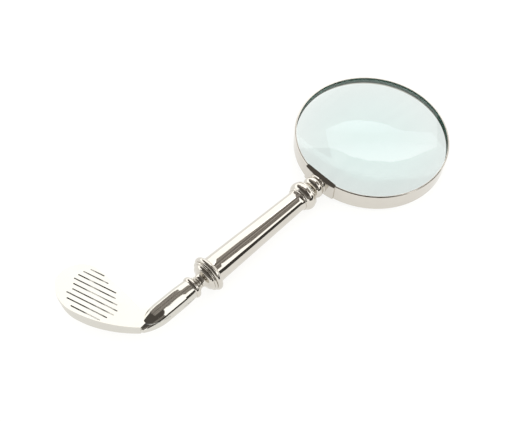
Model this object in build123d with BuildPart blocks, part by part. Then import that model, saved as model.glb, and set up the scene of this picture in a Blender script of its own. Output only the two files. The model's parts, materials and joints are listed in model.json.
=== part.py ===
"""Hand magnifier with a turned handle that ends in a golf iron's head.

Frame, in millimetres: the origin is the centre of the lens frame, +Z is the optical axis and points
up, the handle runs along -Y, and the iron's blade turns off towards -X.  A station is a distance from
the origin along the handle, so station 60 is y = -60.
"""
import os
from math import cos, radians, sin, sqrt

from build123d import *

# ---- driving dimensions ------------------------------------------------------------------------
RIM_RADIUS = 51.0            # outside of the lens frame
RIM_HEIGHT = 12.5
RIM_WALL = 0.7
RIM_LIP = 0.35               # how far the frame's upper edge is rolled in over the glass
RIM_ROLL = 0.9               # radius of the roll
EDGE = 0.12                  # broken edges of the frame
LENS_RADIUS = 50.2
LENS_EDGE_TOP = 5.6          # height of the glass's edge, above and below the origin
LENS_EDGE_BOTTOM = -2.5
LENS_CURVE = 330.0           # radius of both faces of the glass
WIRE_RADIUS = 0.35           # spring wire that holds the lens up against the lip
SADDLE_WALL = 1.2
SADDLE_LIP = 2.0             # how far the saddle folds in over the frame's upper edge
SADDLE_RISE = 1.35           # height of the fold above the frame
SADDLE_ROUND = 0.7           # outer edges of the fold and the strap
SADDLE_SWEEP = 27.0          # degrees of the frame that the saddle covers
STUD_RADIUS = 2.97           # M6 stud, plain at its major diameter
THREAD_CLEARANCE = 0.06
ROD_RADIUS = 2.48            # M5 tie rod
ROD_CLEARANCE = 0.02
WASHER_RADIUS = 4.9

FERRULE_END = 61.6           # stations along the handle, from the lens outwards
STUD_END = 70.6
COLLAR_START = 62.1
TUBE_START = 70.3
TUBE_END = 144.2
RING_START = 148.4
CUP_START = 149.8
BEAD_START = 154.8
BEAD_LENGTH = 1.6
HOSEL_RING_START = 158.0
HOSEL_START = 161.6
HOSEL_NOSE = 182.0
HOSEL_END = 200.0
HOSEL_RADIUS = 6.6
SPIGOT_END = 82.0            # inner end of the upper collar's spigot, where the lock nut sits
UPPER_SPIGOT = 5.7
LOWER_SPIGOT = 7.05
LOWER_SPIGOT_LENGTH = 6.0
ROD_END = 172.0
ROD_GRIP = 6.5               # length of rod screwed into the upper collar
NUT_THICKNESS = 2.7
NUT_FLATS = 8.0

BLADE_TURN = 18.0            # grooves' angle off square to the handle
BLADE_LOFT = 8.0
FACE_HEEL = (-0.2, -199.4, 4.65)   # point of the face plane at the heel
SOLE_THICKNESS = 7.9         # at the middle of the sole
HEEL_THICKNESS = 6.4
TOPLINE_THICKNESS = 2.8
TOE_THICKNESS = 1.2
GROOVE_WIDTH = 0.85
GROOVE_DEPTH = 0.35
GROOVE_PITCH = 3.33
TOP_GROOVE = 19.0            # height of the topmost groove on the face

os.makedirs("parts", exist_ok=True)


def save(builder, name):
    """Label a finished piece and write its STEP file."""
    builder.part.label = name
    export_step(builder.part, f"parts/{name}.step")


def at(radius, station):
    """A point of a turned profile, drawn in XY and revolved about the handle's axis, Y."""
    return (radius, -station)


# ---- lens and its frame, turned about Z ----------------------------------------------------------
half_height = RIM_HEIGHT / 2
wall_inside = RIM_RADIUS - RIM_WALL
lip_inside = wall_inside - RIM_LIP
lip_thickness = 0.5
gasket = 0.3
gasket_inside = LENS_RADIUS - 0.9
gasket_top = LENS_EDGE_BOTTOM - 0.15     # the glass bulges this far below its edge over the gasket
wire_centre = wall_inside - 0.2
wire_height = gasket_top - gasket - WIRE_RADIUS - 0.02

with BuildPart() as lens:
    sag = LENS_CURVE - sqrt(LENS_CURVE**2 - LENS_RADIUS**2)
    crown = LENS_EDGE_TOP + sag
    belly = LENS_EDGE_BOTTOM - sag
    with BuildSketch(Plane.XZ):
        with BuildLine():
            Line((0, belly), (0, crown))
            RadiusArc((0, crown), (LENS_RADIUS, LENS_EDGE_TOP), LENS_CURVE)
            Line((LENS_RADIUS, LENS_EDGE_TOP), (LENS_RADIUS, LENS_EDGE_BOTTOM))
            RadiusArc((LENS_RADIUS, LENS_EDGE_BOTTOM), (0, belly), LENS_CURVE)
        make_face()
    revolve(axis=Axis.Z)
    chamfer(lens.edges().filter_by(GeomType.CIRCLE), 0.2)
save(lens, "lens")

with BuildPart() as bezel:
    with BuildSketch(Plane.XZ) as rim_section:
        with BuildLine():
            Polyline(
                (wall_inside, -half_height), (RIM_RADIUS, -half_height), (RIM_RADIUS, half_height),
                (lip_inside, half_height), (lip_inside, half_height - lip_thickness),
                (wall_inside, half_height - lip_thickness), close=True,
            )
        make_face()
        fillet(rim_section.vertices().group_by(Axis.Y)[0], EDGE)
        fillet(rim_section.vertices().sort_by_distance((lip_inside, half_height))[0], EDGE)
        fillet(rim_section.vertices().sort_by_distance((RIM_RADIUS, half_height))[0], RIM_ROLL)
        with Locations((wall_inside, wire_height)):
            Rectangle(0.4, 2 * WIRE_RADIUS + 0.1, mode=Mode.SUBTRACT)
    revolve(axis=Axis.Z)
save(bezel, "bezel")

with BuildPart() as lens_gasket:
    with BuildSketch(Plane.XZ):
        with Locations(((gasket_inside + LENS_RADIUS) / 2, gasket_top - gasket / 2)):
            Rectangle(LENS_RADIUS - gasket_inside, gasket)
    revolve(axis=Axis.Z)
save(lens_gasket, "lens_gasket")

with BuildPart() as retaining_wire:
    wire_gap = 8.0
    start = radians(-90 + wire_gap / 2)
    wire_plane = Plane((0, 0, 0), x_dir=(cos(start), sin(start), 0), z_dir=(sin(start), -cos(start), 0))
    with BuildSketch(wire_plane):
        with Locations((wire_centre, wire_height)):
            Circle(WIRE_RADIUS)
    revolve(axis=Axis.Z, revolution_arc=360 - wire_gap)
save(retaining_wire, "retaining_wire")

# ---- saddle: a strap that hooks over the frame's upper edge and carries the stud ---------------------
saddle_inside = RIM_RADIUS + 0.02
saddle_outside = RIM_RADIUS + SADDLE_WALL
saddle_tip = saddle_inside - SADDLE_LIP
saddle_clear = half_height + 0.1          # height of the fold's underside over the frame
saddle_edge_curve = 4 * RIM_RADIUS        # the fold's free edge is nearly straight, as seen from above

with BuildPart() as saddle:
    start = radians(-90 - SADDLE_SWEEP / 2)
    saddle_plane = Plane((0, 0, 0), x_dir=(cos(start), sin(start), 0), z_dir=(sin(start), -cos(start), 0))
    with BuildSketch(saddle_plane):
        with BuildLine():
            Polyline(
                (saddle_inside, saddle_clear), (saddle_inside, -half_height), (saddle_outside, -half_height),
                (saddle_outside, half_height - 0.2), (saddle_tip, half_height + SADDLE_RISE),
                (saddle_tip, saddle_clear + 0.5), (saddle_inside, saddle_clear),
            )
        strap = make_face()
        fillet(strap.vertices().group_by(Axis.X)[-1], SADDLE_ROUND)
    revolve(axis=Axis.Z, revolution_arc=SADDLE_SWEEP)
    with Locations((0, saddle_edge_curve - saddle_tip, 0)):
        Cylinder(radius=saddle_edge_curve, height=2 * RIM_HEIGHT, mode=Mode.SUBTRACT)
    with BuildSketch(Plane.XZ.offset(saddle_tip)):
        Circle(STUD_RADIUS + THREAD_CLEARANCE / 2)
    extrude(amount=saddle_outside - saddle_tip + 1, mode=Mode.SUBTRACT)
save(saddle, "saddle")

# ---- turned pieces of the handle, revolved about Y --------------------------------------------------
stud_bore = STUD_RADIUS + THREAD_CLEARANCE / 2
stud_start = RIM_RADIUS + 0.05
stud_hole_end = STUD_END + 1.5
rod_thread = ROD_RADIUS + ROD_CLEARANCE
rod_bore = ROD_RADIUS + 0.07             # the rod passes freely through the pieces it clamps

with BuildPart() as neck_ferrule:
    with BuildSketch(Plane.XY):
        with BuildLine():
            Polyline(at(stud_bore, FERRULE_END), at(stud_bore, 51), at(7.0, 51), at(7.0, 52.9))
            ThreePointArc(at(7.0, 52.9), at(6.8, 53.3), at(6.3, 53.5))
            ThreePointArc(at(6.3, 53.5), at(7.35, 56.3), at(5.0, 59.5))
            ThreePointArc(at(5.0, 59.5), at(4.5, 60.1), at(4.7, 61.0))
            Polyline(at(4.7, 61.0), at(5.0, FERRULE_END), at(stud_bore, FERRULE_END))
        make_face()
    revolve(axis=Axis.Y)
    Cylinder(radius=saddle_outside, height=40, mode=Mode.SUBTRACT)
save(neck_ferrule, "neck_ferrule")

with BuildPart() as lens_stud:
    with BuildSketch(Plane.XZ.offset(stud_start)):
        Circle(STUD_RADIUS)
    extrude(amount=STUD_END - stud_start)
    chamfer(lens_stud.edges().group_by(Axis.Y)[0], 0.5)
save(lens_stud, "lens_stud")

with BuildPart() as washer:
    with BuildSketch(Plane.XZ.offset(FERRULE_END)):
        Circle(WASHER_RADIUS)
        Circle(STUD_RADIUS + 0.15, mode=Mode.SUBTRACT)
    extrude(amount=COLLAR_START - FERRULE_END)
save(washer, "washer")

with BuildPart() as upper_collar:
    with BuildSketch(Plane.XY):
        with BuildLine():
            Polyline(at(0, SPIGOT_END), at(0, COLLAR_START), at(8.0, COLLAR_START))
            ThreePointArc(at(8.0, COLLAR_START), at(8.8, 62.5), at(9.0, 63.3))
            ThreePointArc(at(9.0, 63.3), at(9.75, 66.2), at(8.3, 68.9))
            ThreePointArc(at(8.3, 68.9), at(7.85, 69.3), at(7.75, TUBE_START))
            Polyline(at(7.75, TUBE_START), at(UPPER_SPIGOT, TUBE_START), at(UPPER_SPIGOT, SPIGOT_END))
            Line(at(UPPER_SPIGOT, SPIGOT_END), at(0, SPIGOT_END))
        make_face()
    revolve(axis=Axis.Y)
    with BuildSketch(Plane.XZ.offset(COLLAR_START)):
        Circle(STUD_RADIUS + THREAD_CLEARANCE)
    extrude(amount=stud_hole_end - COLLAR_START, mode=Mode.SUBTRACT)
    with BuildSketch(Plane.XZ.offset(SPIGOT_END - ROD_GRIP - 0.5)):
        Circle(rod_thread)
    extrude(amount=ROD_GRIP + 0.5, mode=Mode.SUBTRACT)
save(upper_collar, "upper_collar")

with BuildPart() as handle_tube:
    with BuildSketch(Plane.XY):
        with BuildLine():
            Line(at(5.8, TUBE_END), at(5.8, TUBE_START))
            Line(at(5.8, TUBE_START), at(7.3, TUBE_START))
            ThreePointArc(at(7.3, TUBE_START), at(6.95, 71.8), at(6.85, 74.0))
            Line(at(6.85, 74.0), at(8.35, 139.0))
            ThreePointArc(at(8.35, 139.0), at(8.5, 142.0), at(8.85, TUBE_END))
            Line(at(8.85, TUBE_END), at(5.8, TUBE_END))
        make_face()
    revolve(axis=Axis.Y)
    with BuildSketch(Plane.XY):
        with BuildLine():
            Polyline(at(0, TUBE_START), at(5.8, TUBE_START), at(7.3, TUBE_END), at(0, TUBE_END), close=True)
        make_face()
    revolve(axis=Axis.Y, mode=Mode.SUBTRACT)
save(handle_tube, "handle_tube")

with BuildPart() as rod_lock_nut:
    with BuildSketch(Plane.XZ.offset(SPIGOT_END)):
        RegularPolygon(radius=NUT_FLATS / 2, side_count=6, major_radius=False)
        Circle(rod_thread, mode=Mode.SUBTRACT)
    extrude(amount=NUT_THICKNESS)
save(rod_lock_nut, "rod_lock_nut")

with BuildPart() as tie_rod:
    with BuildSketch(Plane.XZ.offset(SPIGOT_END - ROD_GRIP)):
        Circle(ROD_RADIUS)
    extrude(amount=ROD_END - SPIGOT_END + ROD_GRIP)
    chamfer(tie_rod.edges().filter_by(GeomType.CIRCLE), 0.4)
save(tie_rod, "tie_rod")

lower_spigot_start = TUBE_END - LOWER_SPIGOT_LENGTH
with BuildPart() as lower_collar:
    with BuildSketch(Plane.XY):
        with BuildLine():
            Polyline(
                at(rod_bore, RING_START), at(rod_bore, lower_spigot_start), at(LOWER_SPIGOT, lower_spigot_start),
                at(LOWER_SPIGOT, TUBE_END), at(9.2, TUBE_END),
            )
            ThreePointArc(at(9.2, TUBE_END), at(9.6, 144.7), at(10.4, 145.0))
            ThreePointArc(at(10.4, 145.0), at(11.6, 146.9), at(10.2, RING_START))
            Line(at(10.2, RING_START), at(rod_bore, RING_START))
        make_face()
    revolve(axis=Axis.Y)
save(lower_collar, "lower_collar")

with BuildPart() as collar_ring:
    with BuildSketch(Plane.XY):
        with BuildLine():
            Polyline(at(rod_bore, CUP_START), at(rod_bore, RING_START), at(9.5, RING_START))
            ThreePointArc(at(9.5, RING_START), at(10.15, 149.1), at(9.3, CUP_START))
            Line(at(9.3, CUP_START), at(rod_bore, CUP_START))
        make_face()
    revolve(axis=Axis.Y)
save(collar_ring, "collar_ring")

with BuildPart() as cup_ferrule:
    with BuildSketch(Plane.XY):
        with BuildLine():
            Polyline(at(rod_bore, BEAD_START), at(rod_bore, CUP_START), at(8.9, CUP_START))
            ThreePointArc(at(8.9, CUP_START), at(8.35, 151.0), at(6.9, 152.0))
            ThreePointArc(at(6.9, 152.0), at(4.75, 153.2), at(3.8, BEAD_START))
            Line(at(3.8, BEAD_START), at(rod_bore, BEAD_START))
        make_face()
    revolve(axis=Axis.Y)
save(cup_ferrule, "cup_ferrule")

for count, bead_radius in enumerate((4.1, 4.7), start=1):
    near = BEAD_START + (count - 1) * BEAD_LENGTH
    far = near + BEAD_LENGTH
    root = bead_radius - 0.6
    with BuildPart() as stem_bead:
        with BuildSketch(Plane.XY):
            with BuildLine():
                Polyline(at(rod_bore, far), at(rod_bore, near), at(root, near))
                ThreePointArc(at(root, near), at(bead_radius, near + BEAD_LENGTH / 2), at(root, far))
                Line(at(root, far), at(rod_bore, far))
            make_face()
        revolve(axis=Axis.Y)
    save(stem_bead, f"stem_bead_{count}")

with BuildPart() as hosel_ring:
    with BuildSketch(Plane.XY):
        with BuildLine():
            Polyline(at(rod_bore, HOSEL_START), at(rod_bore, HOSEL_RING_START), at(5.4, HOSEL_RING_START))
            ThreePointArc(at(5.4, HOSEL_RING_START), at(7.0, 159.8), at(6.3, HOSEL_START))
            Line(at(6.3, HOSEL_START), at(rod_bore, HOSEL_START))
        make_face()
    revolve(axis=Axis.Y)
save(hosel_ring, "hosel_ring")

# ---- iron head: hosel and blade in one casting ------------------------------------------------------
groove_dir = Vector(cos(radians(BLADE_TURN)), sin(radians(BLADE_TURN)), 0)
flat_up = Vector(-sin(radians(BLADE_TURN)), cos(radians(BLADE_TURN)), 0)
face_up = flat_up * cos(radians(BLADE_LOFT)) - Vector(0, 0, 1) * sin(radians(BLADE_LOFT))
face_normal = groove_dir.cross(face_up)
face = Plane(FACE_HEEL, x_dir=groove_dir, z_dir=face_normal)

# The face's outline: x runs from the toe to the heel and y from the sole to the topline.
heel_tip = (1.0, -0.3)
sole_low = (-37.9, -10.3)
toe_side = (-58.6, 2.3)
toe_top = (-55.1, 17.0)
topline_toe = (-41.5, 21.3)
topline_heel = (-4.8, 10.2)
throat = (-1.3, 15.0)

# The back of the blade tapers from the sole to the topline.
back_slope = (SOLE_THICKNESS - TOPLINE_THICKNESS) / (topline_toe[1] - sole_low[1])
back_normal = face_normal - face_up * back_slope
back_point = face.from_local_coords((sole_low[0], sole_low[1], -SOLE_THICKNESS))
back = Plane(back_point, z_dir=back_normal)

# Seen from the sole, the blade is thickest at its middle and its back rounds off to a thin toe.
sole_view = Plane(FACE_HEEL, x_dir=groove_dir, z_dir=-face_up)

groove_toe_ends = (45.5, 48.3, 49.6, 50.2, 48.4, 46.7, 48.3, 45.8, 40.8)
groove_heel_ends = (35.8, 30.9, 23.3, 21.5, 18.2, 16.0, 16.2, 18.5, 21.0)

with BuildPart() as iron_head:
    with BuildSketch(face):
        with BuildLine():
            ThreePointArc(heel_tip, (-18.2, -7.9), sole_low)
            ThreePointArc(sole_low, (-50.5, -6.6), toe_side)
            ThreePointArc(toe_side, (-59.2, 8.5), toe_top)
            ThreePointArc(toe_top, (-50.5, 20.4), topline_toe)
            ThreePointArc(topline_toe, (-23.5, 16.3), topline_heel)
            ThreePointArc(topline_heel, (-3.4, 11.9), throat)
            Line(throat, (2.5, 8.0))
            Line((2.5, 8.0), heel_tip)
        make_face()
    extrude(amount=-SOLE_THICKNESS - 4)
    split(bisect_by=back, keep=Keep.TOP)
    with BuildSketch(sole_view):
        with BuildLine():
            Line((3, 1), (3, -HEEL_THICKNESS))
            ThreePointArc((3, -HEEL_THICKNESS), (-20, -SOLE_THICKNESS), (-36, -7.2))
            ThreePointArc((-36, -7.2), (-42.5, -5.2), (-47, -2.4))
            Line((-47, -2.4), (-64, -TOE_THICKNESS))
            Polyline((-64, -TOE_THICKNESS), (-64, 1), (3, 1))
        make_face()
    extrude(amount=60, both=True, mode=Mode.INTERSECT)
    with BuildSketch(Plane.XY):
        with BuildLine():
            Polyline(at(0, HOSEL_END), at(0, HOSEL_START), at(6.1, HOSEL_START))
            ThreePointArc(at(6.1, HOSEL_START), at(6.35, 165.0), at(HOSEL_RADIUS, 169.0))
            Line(at(HOSEL_RADIUS, 169.0), at(HOSEL_RADIUS, HOSEL_NOSE))
            ThreePointArc(at(HOSEL_RADIUS, HOSEL_NOSE), at(5.35, 192.0), at(2.6, 198.6))
            ThreePointArc(at(2.6, 198.6), at(1.5, 199.6), at(0, HOSEL_END))
        make_face()
    revolve(axis=Axis.Y)
    with BuildSketch(Plane.XZ.offset(HOSEL_START)):
        Circle(rod_thread)
    extrude(amount=ROD_END + 0.5 - HOSEL_START, mode=Mode.SUBTRACT)
    with BuildSketch(face):
        for row, (toe_end, heel_end) in enumerate(zip(groove_toe_ends, groove_heel_ends)):
            with Locations((-(toe_end + heel_end) / 2, TOP_GROOVE - row * GROOVE_PITCH)):
                SlotOverall(toe_end - heel_end, GROOVE_WIDTH)
    extrude(amount=-GROOVE_DEPTH, mode=Mode.SUBTRACT)
save(iron_head, "iron_head")
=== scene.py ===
"""Looks for the hand magnifier: finer meshes, materials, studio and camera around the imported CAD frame.

Everything is in metres in the row frame: the lens lies in the XY plane round the origin, the handle runs
along -Y and the iron's blade turns off towards -X.
"""

import json
import math
from collections import defaultdict

import bmesh
import bpy
from mathutils import Matrix, Vector


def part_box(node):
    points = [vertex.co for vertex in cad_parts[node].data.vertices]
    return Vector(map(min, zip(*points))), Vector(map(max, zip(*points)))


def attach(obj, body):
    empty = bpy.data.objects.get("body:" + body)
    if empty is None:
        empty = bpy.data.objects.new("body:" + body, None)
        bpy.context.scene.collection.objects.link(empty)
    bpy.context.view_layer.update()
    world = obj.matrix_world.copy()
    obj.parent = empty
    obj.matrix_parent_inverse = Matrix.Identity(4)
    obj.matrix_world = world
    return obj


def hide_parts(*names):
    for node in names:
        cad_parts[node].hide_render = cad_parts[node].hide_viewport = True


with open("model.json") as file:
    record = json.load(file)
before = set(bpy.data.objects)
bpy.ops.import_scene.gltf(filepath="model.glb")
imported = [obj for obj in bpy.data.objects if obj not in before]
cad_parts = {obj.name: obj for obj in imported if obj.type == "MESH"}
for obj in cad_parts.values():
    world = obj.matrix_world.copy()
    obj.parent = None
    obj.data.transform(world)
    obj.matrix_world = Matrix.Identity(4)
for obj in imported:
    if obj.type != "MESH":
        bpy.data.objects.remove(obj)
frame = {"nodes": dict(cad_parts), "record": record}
NODES = frame["nodes"]
BODY_OF = {node: body for body, nodes in frame["record"]["behaviour"]["bodies"].items() for node in nodes}
SLOT_OF = {part["node"]: part["material_slot"] for part in frame["record"]["subparts"]}
MM = 0.001
WELD = 1e-7  # vertices nearer to each other than this are one
CORNER = math.radians(24)  # an outline that turns further than this at a point has an edge there
SHARP = math.radians(28)  # two faces of a turned piece that meet at more than this keep a hard edge
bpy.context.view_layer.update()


# ---- material helpers --------------------------------------------------------------------------------------
class Shader:
    """A node material with one Principled shader, and short calls for the nodes that feed it."""

    def __init__(self, name, **inputs):
        self.material = bpy.data.materials.new(name)
        self.material.use_nodes = True
        self.tree = self.material.node_tree
        self.surface = self.tree.nodes["Principled BSDF"]
        for socket, value in inputs.items():
            self.surface.inputs[socket.replace("_", " ")].default_value = value
        self.place = self.node("ShaderNodeTexCoord").outputs["Object"]

    def node(self, kind):
        return self.tree.nodes.new(kind)

    def link(self, source, target):
        self.tree.links.new(source, target)

    def noise(self, scale, detail, stretch=(1, 1, 1)):
        """Noise from 0 to 1; a stretch under 1 draws it out along that axis."""
        texture = self.node("ShaderNodeTexNoise")
        texture.inputs["Scale"].default_value = scale
        texture.inputs["Detail"].default_value = detail
        mapping = self.node("ShaderNodeMapping")
        mapping.inputs["Scale"].default_value = stretch
        self.link(self.place, mapping.inputs["Vector"])
        self.link(mapping.outputs["Vector"], texture.inputs["Vector"])
        return texture.outputs["Fac"]

    def color(self, factor, *stops):
        """The surface's colour runs through the stops, each a position and a colour, as the factor rises."""
        ramp = self.node("ShaderNodeValToRGB")
        elements = ramp.color_ramp.elements
        while len(elements) < len(stops):
            elements.new(0.5)
        for element, (position, color) in zip(elements, stops):
            element.position = position
            element.color = (*color, 1)
        self.link(factor, ramp.inputs["Fac"])
        self.link(ramp.outputs["Color"], self.surface.inputs["Base Color"])

    def roughness(self, factor, low, high):
        """The surface's roughness runs from low to high as the factor rises from 0 to 1."""
        spread = self.node("ShaderNodeMapRange")
        spread.inputs["To Min"].default_value = low
        spread.inputs["To Max"].default_value = high
        self.link(factor, spread.inputs["Value"])
        self.link(spread.outputs["Result"], self.surface.inputs["Roughness"])

    def bump(self, height, strength, distance):
        """The surface rises and falls by up to the distance, in metres, as the height runs from 0 to 1."""
        bump = self.node("ShaderNodeBump")
        bump.inputs["Strength"].default_value = strength
        bump.inputs["Distance"].default_value = distance
        self.link(height, bump.inputs["Height"])
        self.link(bump.outputs["Normal"], self.surface.inputs["Normal"])


POLISH_DEPTH = 0.00002
GRAIN_DEPTH = 0.00003


def polished_nickel():
    """Bright nickel plate: a warm mirror with faint clouding and polishing marks."""
    shader = Shader("polished_nickel", Metallic=1.0)
    shader.color(shader.noise(60, 4), (0.3, (0.63, 0.60, 0.55)), (0.7, (0.67, 0.64, 0.585)))
    shader.roughness(shader.noise(220, 5), 0.02, 0.07)
    shader.bump(shader.noise(900, 3, stretch=(1, 0.15, 1)), 0.04, POLISH_DEPTH)
    return shader.material


def blade_nickel():
    """The iron's plate: the same nickel with a softer, finely lapped polish."""
    shader = Shader("blade_nickel", Metallic=1.0)
    shader.color(shader.noise(45, 4), (0.3, (0.63, 0.615, 0.565)), (0.7, (0.67, 0.65, 0.60)))
    shader.roughness(shader.noise(260, 5), 0.04, 0.10)
    shader.bump(shader.noise(700, 4, stretch=(0.2, 1, 1)), 0.05, POLISH_DEPTH)
    return shader.material


def lens_glass():
    """Clear crown glass that turns pale green with depth."""
    shader = Shader("lens_glass", Roughness=0.0, IOR=1.517, Transmission_Weight=1.0)
    shader.surface.inputs["Base Color"].default_value = (1, 1, 1, 1)
    absorb = shader.node("ShaderNodeVolumeAbsorption")
    absorb.inputs["Color"].default_value = (0.25, 0.83, 0.77, 1)
    absorb.inputs["Density"].default_value = 14.0
    shader.link(absorb.outputs["Volume"], shader.tree.nodes["Material Output"].inputs["Volume"])
    return shader.material


def ground_edge_painted_shade():
    """The lens's finely ground edge, coloured dark green as painted shade for the dark band seen at the edge
    through the glass.
    """
    shader = Shader("ground_edge_painted_shade", Roughness=0.8)
    shader.surface.inputs["Specular IOR Level"].default_value = 0.1
    # painted shade: the edge's dark green stands in for the shade seen through the glass at the lens's rim
    shader.color(shader.noise(120, 4), (0.35, (0.17, 0.30, 0.24)), (0.65, (0.25, 0.40, 0.33)))
    shader.bump(shader.noise(2500, 2), 0.1, POLISH_DEPTH)
    return shader.material


def groove_painted_shade():
    """Painted shade in the blade's grooves: a dark colour standing in for the shade in these recesses, patchy
    with noise.
    """
    shader = Shader("groove_painted_shade", Roughness=0.5)
    shade_patches = shader.noise(75, 4, stretch=(1, 3, 1))
    # painted shade: near black, through a lighter grey, to pale grey where the noise is high
    deep_shade, soft_shade, no_shade = (0.02, 0.02, 0.02), (0.12, 0.12, 0.115), (0.5, 0.49, 0.46)
    shader.color(shade_patches, (0.38, deep_shade), (0.52, soft_shade), (0.62, no_shade))
    return shader.material


def plain(name, color, roughness, metallic=0.0):
    """Small hidden hardware: one colour with a little unevenness and fine grain."""
    shader = Shader(name, Metallic=metallic)
    darker = tuple(0.8 * part for part in color)
    shader.color(shader.noise(400, 4), (0.3, darker), (0.7, color))
    shader.roughness(shader.noise(800, 2), 0.8 * roughness, 1.2 * roughness)
    shader.bump(shader.noise(1200, 3), 0.2, GRAIN_DEPTH)
    return shader.material


MATERIALS = {
    "polished_nickel": polished_nickel(),
    "satin_iron": blade_nickel(),
    "lens_glass": lens_glass(),
    "gasket_rubber": plain("gasket_rubber", (0.42, 0.37, 0.31), 0.7),
    "spring_steel": plain("spring_steel", (0.42, 0.42, 0.43), 0.3, metallic=1.0),
    "steel_hardware": plain("steel_hardware", (0.5, 0.5, 0.52), 0.35, metallic=1.0),
    "nylon_washer": plain("nylon_washer", (0.08, 0.08, 0.08), 0.5),
}
for node, part in NODES.items():
    part.data.materials.clear()
    part.data.materials.append(MATERIALS[SLOT_OF[node]])


# ---- finer meshes for the turned pieces --------------------------------------------------------------------
AXIS_GAP = 0.004  # mm; a point of an outline that is nearer to the axis than this lies on it


def half_profile(node, axis):
    """The outline of a turned CAD node and whether it closes on itself.

    The outline is a list of (radius, height along the axis) points in millimetres, in order. The CAD mesh's
    edges say which points may follow each other, and the nearest new one is taken each time.
    """
    mesh = NODES[node].data
    keys = []
    for vertex in mesh.vertices:
        x, y, z = vertex.co
        radius, height = (math.hypot(x, z), y) if axis == "Y" else (math.hypot(x, y), z)
        keys.append((round(radius / MM, 2), round(height / MM, 2)))
    near = defaultdict(set)
    for edge in mesh.edges:
        a, b = (keys[i] for i in edge.vertices)
        if a != b:
            near[a].add(b)
            near[b].add(a)
    on_axis = {key for key in near if key[0] < AXIS_GAP}
    loop = [min(on_axis) if on_axis else max(near)]
    for turn in range(2):
        while ahead := [key for key in near[loop[-1]] if key not in loop and not {key, loop[-1]} <= on_axis]:
            loop.append(min(ahead, key=lambda key: math.dist(key, loop[-1])))
        if on_axis or (turn == 0 and loop[0] in near[loop[-1]]):
            break
        loop.reverse()
    else:
        return [(0.0, loop[0][1]), *loop, (0.0, loop[-1][1])], False
    return loop, not on_axis


ARC_STEPS = 4
MOST_OF_A_SIDE = 0.4  # the part of each side that a rounded corner may take up


def rounded(loop, closed, edge):
    """The outline with each sharp corner rounded by an arc of at most the given radius."""
    points = [Vector(p) for p in loop]
    count = len(points)
    made = []
    for i, here in enumerate(points):
        if not closed and i in (0, count - 1):
            made.append(here)
            continue
        before, after = points[i - 1], points[(i + 1) % count]
        into, out = before - here, after - here
        turn = math.pi - into.angle(out)
        if turn < CORNER:
            made.append(here)
            continue
        cut = min(edge * math.tan(turn / 2), MOST_OF_A_SIDE * into.length, MOST_OF_A_SIDE * out.length)
        first, last = here + into.normalized() * cut, here + out.normalized() * cut
        for k in range(ARC_STEPS + 1):
            t = k / ARC_STEPS
            made.append(first * (1 - t) ** 2 + here * (2 * t * (1 - t)) + last * t**2)
    return made


STRAIGHT = 3  # a side this many times as long as the next one is a straight


def direction(before, here, after):
    """The outline's direction through a point: a straight on either side sets it alone."""
    into, out = here - before, after - here
    if into.length > STRAIGHT * out.length:
        return into.normalized()
    if out.length > STRAIGHT * into.length:
        return out.normalized()
    return (into.normalized() + out.normalized()).normalized()


def hermite(a, start, b, end, t):
    """The smooth curve from a to b that leaves along start and arrives along end, at t from 0 to 1."""
    return (a * (2 * t**3 - 3 * t**2 + 1) + start * (t**3 - 2 * t**2 + t)
            + b * (3 * t**2 - 2 * t**3) + end * (t**3 - t**2))


LONGEST_STEP = 3.0  # mm along an outline
LEAST_BEND = 0.01  # radians


def resampled(points, closed):
    """The outline as a smooth curve through its points, divided so that the spun faces stay compact."""
    made = []
    count = len(points)
    for i in range(count if closed else count - 1):
        a, b = points[i], points[(i + 1) % count]
        before = points[i - 1] if closed or i > 0 else a * 2 - b
        after = points[(i + 2) % count] if closed or i + 2 < count else b * 2 - a
        chord = b - a
        smooth = max((a - before).angle(chord), (after - b).angle(chord)) < CORNER
        start = direction(before, a, b) if smooth else chord.normalized()
        end = direction(a, b, after) if smooth else chord.normalized()
        bent = max(start.angle(chord), end.angle(chord)) > LEAST_BEND
        parts = max(3 if bent else 1, math.ceil(chord.length / LONGEST_STEP))
        for k in range(parts):
            made.append(hermite(a, start * chord.length, b, end * chord.length, k / parts))
    return made if closed else made + [points[-1]]


def spin(name, points, closed, axis, around):
    """A mesh made by turning an outline in millimetres about an axis of the frame."""
    verts, rings = [], []
    for radius, height in points:
        if radius < AXIS_GAP:
            rings.append([len(verts)] * around)
            verts.append((0, height, 0) if axis == "Y" else (0, 0, height))
            continue
        rings.append(range(len(verts), len(verts) + around))
        for k in range(around):
            angle = 2 * math.pi * k / around
            across, over = radius * math.cos(angle), radius * math.sin(angle)
            verts.append((across, height, over) if axis == "Y" else (across, over, height))
    faces = []
    pairs = zip(rings, [*rings[1:], rings[0]]) if closed else zip(rings, rings[1:])
    for low_ring, high_ring in pairs:
        for k in range(around):
            after = (k + 1) % around
            corners = [low_ring[k], low_ring[after], high_ring[after], high_ring[k]]
            faces.append(list(dict.fromkeys(corners)))
    mesh = bpy.data.meshes.new(name)
    mesh.from_pydata([Vector(v) * MM for v in verts], [], faces)
    smoothed(mesh)
    return placed(name, mesh)


def smoothed(mesh):
    """Turns the mesh's normals outward and shades it smooth, with its hard edges kept."""
    work = bmesh.new()
    work.from_mesh(mesh)
    bmesh.ops.remove_doubles(work, verts=work.verts, dist=WELD)
    bmesh.ops.recalc_face_normals(work, faces=work.faces)
    work.to_mesh(mesh)
    work.free()
    mesh.shade_smooth()
    mesh.set_sharp_from_angle(angle=SHARP)


def placed(name, data):
    """A new object in the scene for a mesh or a camera."""
    made = bpy.data.objects.new(name, data)
    bpy.context.scene.collection.objects.link(made)
    return made


def stands_for(made, node):
    """The finer piece takes the CAD node's place, body and finish."""
    made.data.materials.clear()
    made.data.materials.append(MATERIALS[SLOT_OF[node]])
    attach(made, BODY_OF[node])
    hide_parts(node)
    SLOT_OF[node]
    return made


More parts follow.
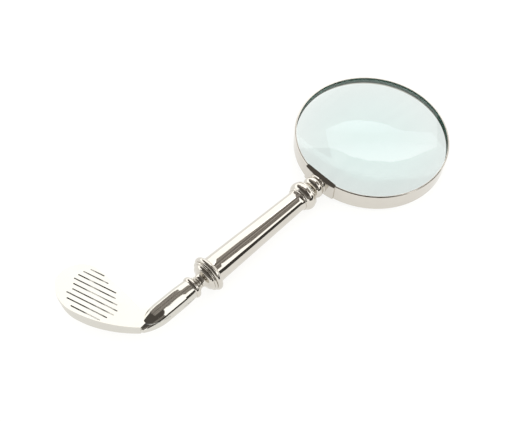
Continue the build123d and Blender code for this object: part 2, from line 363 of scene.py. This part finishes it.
# each turned node's axis, and the radius in millimetres that its sharp edges are worn to
TURNED = {
    "bezel": ("Z", 0.12),
    "lens_gasket": ("Z", 0.08),
    "upper_collar": ("Y", 0.15),
    "handle_tube": ("Y", 0.12),
    "lower_collar": ("Y", 0.2),
    "collar_ring": ("Y", 0.15),
    "cup_ferrule": ("Y", 0.15),
    "stem_bead_1": ("Y", 0.12),
    "stem_bead_2": ("Y", 0.12),
    "hosel_ring": ("Y", 0.15),
    "washer": ("Y", 0.08),
}
AROUND = {"Z": 320, "Y": 160}
for node, (axis, edge) in TURNED.items():
    loop, closed = half_profile(node, axis)
    outline = resampled(rounded(loop, closed, edge), closed)
    stands_for(spin(f"{node}_fine", outline, closed, axis, AROUND[axis]), node)

LENS_CHAMFER = 0.25
LENS_RINGS = 40


def lens_outline():
    """Half of the lens's section: the crown's arc, the ground edge with narrow chamfers, the belly's arc."""
    loop = half_profile("lens", "Z")[0]
    radius = max(r for r, z in loop)
    edge_low, edge_high = sorted({z for r, z in loop if r == radius})
    belly, crown = (corner.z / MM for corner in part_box("lens"))

    def arc(apex, rim):
        sag = apex - rim
        bend = (radius**2 + sag**2) / (2 * sag)
        reaches = [(radius - LENS_CHAMFER) * k / LENS_RINGS for k in range(LENS_RINGS + 1)]
        return [Vector((r, apex - bend + math.copysign(math.sqrt(bend**2 - r**2), bend))) for r in reaches]

    heights = (edge_high - LENS_CHAMFER, (edge_high + edge_low) / 2, edge_low + LENS_CHAMFER)
    edge = [Vector((radius, z)) for z in heights]
    return arc(crown, edge_high) + edge + arc(belly, edge_low)[::-1], radius


outline, lens_radius = lens_outline()
lens = stands_for(spin("lens_fine", outline, False, "Z", AROUND["Z"]), "lens")
lens.data.materials.append(ground_edge_painted_shade())
# the chamfered edge faces take the dark green painted shade
for face in lens.data.polygons:
    if math.hypot(face.center.x, face.center.y) / MM > lens_radius - LENS_CHAMFER:
        face.material_index = 1


# ---- iron head: finer hosel, kept edges, painted shade in the grooves --------------------------------------
ON_OUTLINE = 0.00002  # a vertex this near to the hosel's outline belongs to its turned surface
FARTHEST_SNAP = 0.0003
LONG_EDGE = 0.0006
END_FACE = 0.98  # a face whose normal is this much along the handle closes an end
FLAT = math.radians(14)  # faces of the blade that meet at more than this keep a hard edge


def off_axis(vertex):
    """The vertex's distance from the handle's axis."""
    return math.hypot(vertex.co.x, vertex.co.z)


def iron_head():
    """The iron head, its hosel divided and drawn onto a smooth turned outline and its grooves given painted
    shade.
    """
    work = bmesh.new()
    work.from_mesh(NODES["iron_head"].data)
    bmesh.ops.remove_doubles(work, verts=work.verts, dist=WELD)
    hosel_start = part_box("iron_head")[1].y
    bore = min(off_axis(v) for v in work.verts if hosel_start - v.co.y < 1e-6)
    reach = defaultdict(float)
    for v in work.verts:
        radius = off_axis(v)
        if v.co.x > 0.3 * radius and abs(radius - bore) > ON_OUTLINE:  # the side turned away from the blade
            station = round(v.co.y, 6)
            reach[station] = max(reach[station], radius)
    stations = sorted(reach)

    def slope_at(i):
        before, after = stations[max(i - 1, 0)], stations[min(i + 1, len(stations) - 1)]
        return (reach[after] - reach[before]) / (after - before)

    def radius_at(y):
        for i, (low_y, high_y) in enumerate(zip(stations, stations[1:])):
            if low_y <= y <= high_y:
                span = high_y - low_y
                return hermite(reach[low_y], slope_at(i) * span, reach[high_y], slope_at(i + 1) * span,
                               (y - low_y) / span)
        return 0.0

    def on_hosel(v):
        radius = off_axis(v)
        return radius > bore + ON_OUTLINE and abs(radius - radius_at(v.co.y)) < ON_OUTLINE

    turned = work.faces.layers.int.new("turned")
    curved = [f for f in work.faces if all(on_hosel(v) for v in f.verts) and abs(f.normal.y) < END_FACE]
    for face in curved:
        face[turned] = 1
    long_edges = {e for f in curved for e in f.edges if e.calc_length() > LONG_EDGE}
    bmesh.ops.subdivide_edges(work, edges=list(long_edges), cuts=3, use_grid_fill=True)
    for v in work.verts:
        radius = off_axis(v)
        wanted = radius_at(v.co.y)
        if radius > bore and all(f[turned] for f in v.link_faces) and abs(wanted - radius) < FARTHEST_SNAP:
            v.co.x *= wanted / radius
            v.co.z *= wanted / radius
    bmesh.ops.triangulate(work, faces=[f for f in work.faces if len(f.verts) > 4])
    for e in work.edges:
        pair = [f[turned] for f in e.link_faces]
        limit = CORNER if pair == [1, 1] else FLAT
        e.smooth = len(pair) == 2 and pair[0] == pair[1] and e.calc_face_angle(0) < limit
    for f in work.faces:
        f.smooth = True
    mesh = bpy.data.meshes.new("iron_head_fine")
    work.to_mesh(mesh)
    work.free()
    stands_for(placed("iron_head_fine", mesh), "iron_head")
    # the grooves take a dark colour as painted shade
    mesh.materials.append(groove_painted_shade())
    paint_groove_shade(mesh)


UPWARD = 0.9
GROOVE_LEAST = 0.0001
GROOVE_MOST = 0.0005
LEVEL_SLACK = 0.00001


def paint_groove_shade(mesh):
    """The faces sunk just under the blade's face take the second material, the grooves' painted shade."""
    face = max(mesh.polygons, key=lambda polygon: polygon.area * (polygon.normal.z > UPWARD))
    normal, level = face.normal.copy(), face.normal.dot(face.center)
    for polygon in mesh.polygons:
        depths = [level - normal.dot(mesh.vertices[i].co) for i in polygon.vertices]
        if GROOVE_LEAST < max(depths) < GROOVE_MOST and min(depths) > -LEVEL_SLACK:
            polygon.material_index = 1


iron_head()


# ---- studio ------------------------------------------------------------------------------------------------
def emission(name, color, strength):
    """A material that only glows."""
    material = bpy.data.materials.new(name)
    material.use_nodes = True
    tree = material.node_tree
    tree.nodes.remove(tree.nodes["Principled BSDF"])
    light = tree.nodes.new("ShaderNodeEmission")
    light.inputs["Color"].default_value = (*color, 1)
    light.inputs["Strength"].default_value = strength
    tree.links.new(light.outputs["Emission"], tree.nodes["Material Output"].inputs["Surface"])
    return material


def glow(material, value, given, wanted):
    """The material's strength follows the value, carried from the given range to the wanted one."""
    tree = material.node_tree
    spread = tree.nodes.new("ShaderNodeMapRange")
    for socket, number in zip(("From Min", "From Max", "To Min", "To Max"), (*given, *wanted)):
        spread.inputs[socket].default_value = number
    tree.links.new(value, spread.inputs["Value"])
    tree.links.new(spread.outputs["Result"], tree.nodes["Emission"].inputs["Strength"])
    return material


def streaks(name, low, high):
    """A dark ceiling with lighter streaks that run along the handle."""
    material = emission(name, (1.0, 0.92, 0.84), 1.0)
    tree = material.node_tree
    mapping = tree.nodes.new("ShaderNodeMapping")
    mapping.inputs["Scale"].default_value = (16.0, 0.7, 1.0)
    noise = tree.nodes.new("ShaderNodeTexNoise")
    noise.inputs["Scale"].default_value = 1.0
    noise.inputs["Detail"].default_value = 4.0
    tree.links.new(tree.nodes.new("ShaderNodeTexCoord").outputs["Object"], mapping.inputs["Vector"])
    tree.links.new(mapping.outputs["Vector"], noise.inputs["Vector"])
    return glow(material, noise.outputs["Fac"], (0.35, 0.65), (low, high))


def softbox(name, start, across, reach, dim, bright):
    """A softbox that grows brighter from a starting point, in the direction across it."""
    material = emission(name, (1.0, 1.0, 1.0), 1.0)
    tree = material.node_tree
    along = tree.nodes.new("ShaderNodeVectorMath")
    along.operation = "DOT_PRODUCT"
    along.inputs[1].default_value = (*across, 0)
    tree.links.new(tree.nodes.new("ShaderNodeTexCoord").outputs["Object"], along.inputs[0])
    origin = start[0] * across[0] + start[1] * across[1]
    return glow(material, along.outputs["Value"], (origin, origin + reach), (dim, bright))


def card(name, corners, material):
    """A studio card or softbox that only shows in reflections."""
    mesh = bpy.data.meshes.new(name)
    mesh.from_pydata(corners, [], [range(len(corners))])
    mesh.materials.append(material)
    made = placed(name, mesh)
    made.visible_camera = False
    made.visible_diffuse = False
    made.visible_shadow = False


CEILING = 1.2
SIDE_CARD = 1.2
SIDE_WALL = 1.6
BACK_WALL = -1.5
NEAR_WHITE = (1.0, 0.995, 0.98, 1)
DARK_WARM = (1.0, 0.93, 0.85)


def ceiling_card(name, outline, material, drop=0.0):
    """A card flat on the ceiling; outline is its corners in X and Y."""
    card(name, [(x, y, CEILING - drop) for x, y in outline], material)


def side_card(name, x, outline, strength):
    """A dim card square to X; outline is its corners in Y and Z."""
    card(name, [(x, y, z) for y, z in outline], emission(name, DARK_WARM, strength))


def studio():
    """A bright white room with the dark ceiling, softbox and side cards that the metal and glass reflect."""
    world = bpy.data.worlds.new("studio")
    bpy.context.scene.world = world
    world.use_nodes = True
    background = world.node_tree.nodes["Background"]
    background.inputs["Color"].default_value = NEAR_WHITE
    background.inputs["Strength"].default_value = 1.7

    softbox_edge = [(-0.60, 0.48), (-0.51, 0.50), (-0.42, 0.51), (-0.31, 0.57), (-0.20, 0.69), (-0.15, 0.82),
                    (-0.134, 0.94), (-0.12, 1.08), (-0.11, 1.21)]
    ceiling_card("dark_ceiling",
                 [(-4.5, 1.15), (-2.0, 0.6), (-1.15, 0.40), (-0.84, 0.30), (-0.66, 0.43), *softbox_edge,
                  (-0.35, 1.65), (-0.8, 2.6), (1.2, 2.6), (1.2, 0.66), (1.0, 0.6), (0.2, 0.15), (0.2, -0.35),
                  (-4.5, -0.35)],
                 streaks("dark_ceiling", 0.04, 0.6))
    ceiling_card("dark_back",
                 [(-3.0, -0.35), (0.2, -0.35), (0.2, 0.15), (SIDE_WALL, 0.15), (SIDE_WALL, BACK_WALL),
                  (-3.0, BACK_WALL)],
                 emission("dark_back", (1.0, 0.9, 0.8), 0.10))
    ceiling_card("key_softbox", softbox_edge,
                 softbox("key_softbox", (-0.62, 0.5), (0.84, -0.54), 0.25, 1.8, 3.2), drop=0.01)
    side_card("dark_side", SIDE_CARD,
              [(-0.9, 0.30), (0.30, 0.40), (0.34, 0.66), (1.4, 0.62), (1.4, -0.05), (-0.9, -0.03)], 0.06)
    card("dark_room",
         [(-1.2, BACK_WALL, 0.1), (SIDE_WALL, BACK_WALL, 0.1), (SIDE_WALL, BACK_WALL, CEILING),
          (-1.2, BACK_WALL, CEILING)],
         emission("dark_room", DARK_WARM, 0.2))
    side_card("dark_corner", SIDE_WALL,
              [(BACK_WALL, 0.3), (0.1, 0.3), (0.1, CEILING), (BACK_WALL, CEILING)], 0.25)


RIM_RADIUS = 0.051
TABLE_GAP = 0.0001


def floor():
    """A pale table top that the magnifier's rim and lower collar rest on."""
    rim_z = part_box("bezel")[0].z
    collar_low, collar_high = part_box("lower_collar")
    collar_y, collar_z = (collar_low.y + collar_high.y) / 2, collar_low.z
    pitch = math.atan2(rim_z - collar_z, RIM_RADIUS - collar_y)
    bpy.ops.mesh.primitive_circle_add(vertices=96, radius=4, fill_type="NGON")
    table = bpy.context.object
    table.name = "table_top"
    table.location = (0, RIM_RADIUS, rim_z - TABLE_GAP)
    table.rotation_euler = (pitch, 0, 0)
    shader = Shader("table_top", Roughness=0.6, Emission_Strength=0.84)
    shader.surface.inputs["Emission Color"].default_value = NEAR_WHITE
    shader.surface.inputs["Specular IOR Level"].default_value = 0.0
    shader.color(shader.noise(8, 2), (0.3, (0.145, 0.145, 0.143)), (0.7, (0.155, 0.155, 0.152)))
    table.data.materials.append(shader.material)


VIEWPOINT = Vector((0.17525, -0.29805, 0.41498))
AZIMUTH = 42.96
ELEVATION = 56.35
ROLL = 2.85
FOCAL_LENGTH = 56.58


def camera():
    """The photograph's viewpoint: turned, raised and rolled about the line of sight."""
    azimuth, elevation, roll = (math.radians(angle) for angle in (AZIMUTH, ELEVATION, ROLL))
    right = Vector((math.cos(azimuth), math.sin(azimuth), 0))
    back = Vector((math.sin(azimuth) * math.cos(elevation), -math.cos(azimuth) * math.cos(elevation),
                   math.sin(elevation)))
    turned = Matrix((right, back.cross(right), back)).transposed().to_4x4()
    optics = bpy.data.cameras.new("camera")
    optics.lens = FOCAL_LENGTH
    optics.clip_start = 0.01
    made = placed("camera", optics)
    made.matrix_world = Matrix.Translation(VIEWPOINT) @ turned @ Matrix.Rotation(roll, 4, "Z")
    bpy.context.scene.camera = made


studio()
floor()
camera()
bpy.context.scene.view_settings.view_transform = "Standard"
